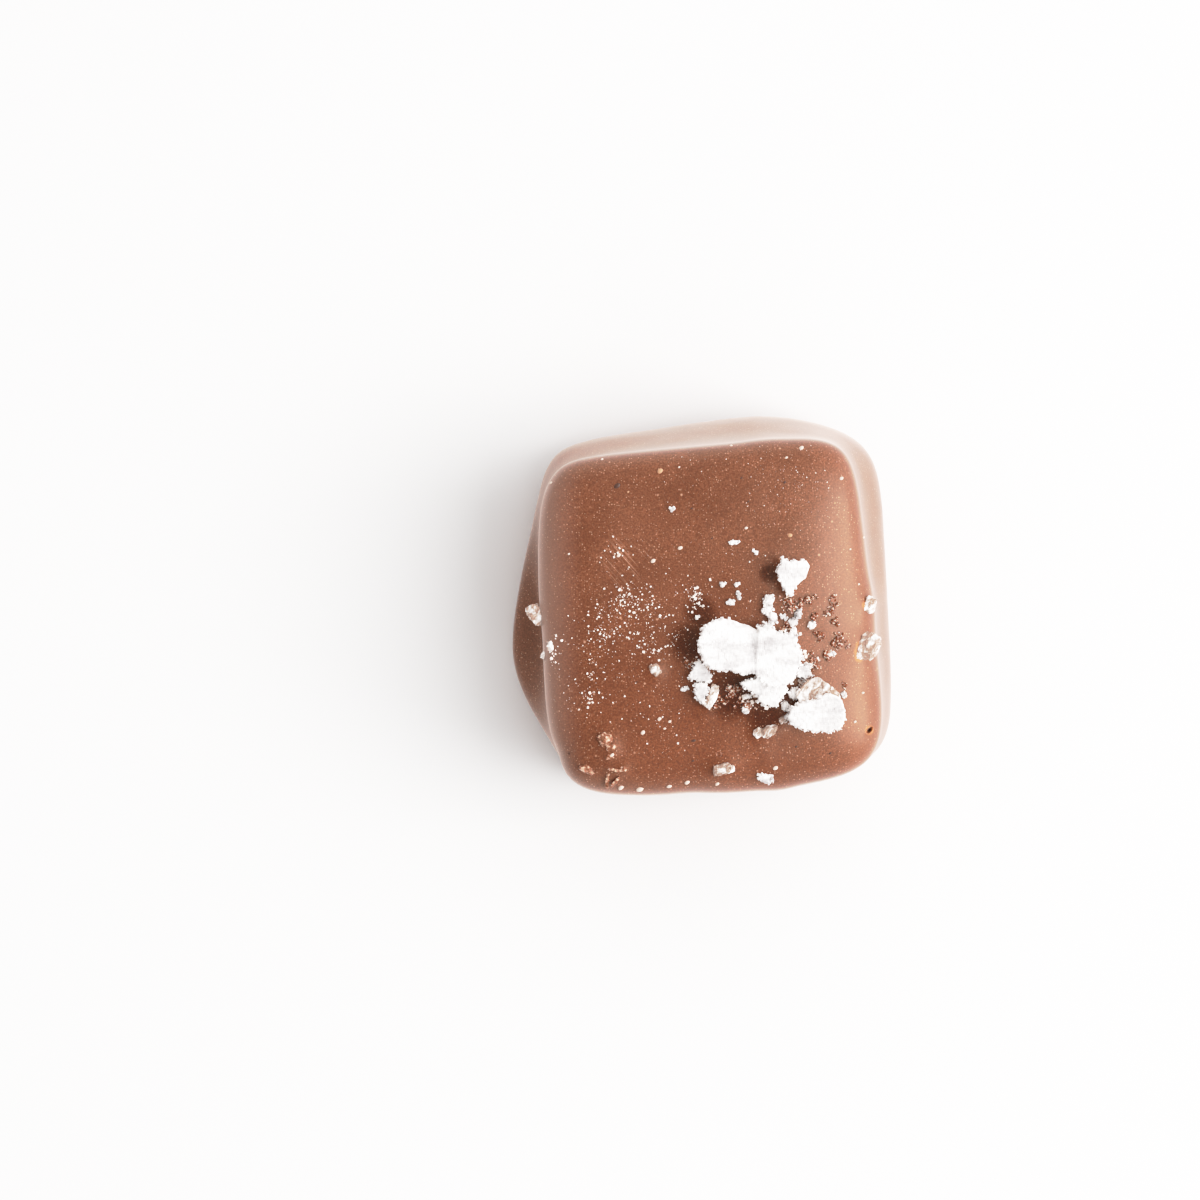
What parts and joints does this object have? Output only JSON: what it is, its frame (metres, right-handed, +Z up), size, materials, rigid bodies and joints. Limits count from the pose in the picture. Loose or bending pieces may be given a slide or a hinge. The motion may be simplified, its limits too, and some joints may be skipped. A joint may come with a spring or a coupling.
{
  "type": "salted caramel candy",
  "caption": "Square soft caramel enrobed in milk chocolate, slumped to a wider belly and a flat base, with flakes, crystals and fine dust of salt on its domed top.",
  "frame": {"origin": "on the flat base, under the middle of the body", "axes": "+Z up through the salted top, +Y towards the side whose lower body shows furthest, +X towards the side with the broad roll-off"},
  "size_m": [0.0288, 0.0287, 0.0169],
  "materials": {
    "milk_chocolate": "tempered milk chocolate coating, satin, with a fine pale speckle and small air bubbles",
    "flake_salt": "opaque white flake salt, matte and crumbly at its edges",
    "salt_crystal": "half-clear salt crystal with cracks and a wet gloss",
    "coated_grain": "salt grains wetted by the chocolate, darker than it and glossy"
  },
  "bodies": {
    "root": {"candy": "milk_chocolate"}
  },
  "joints": []
}
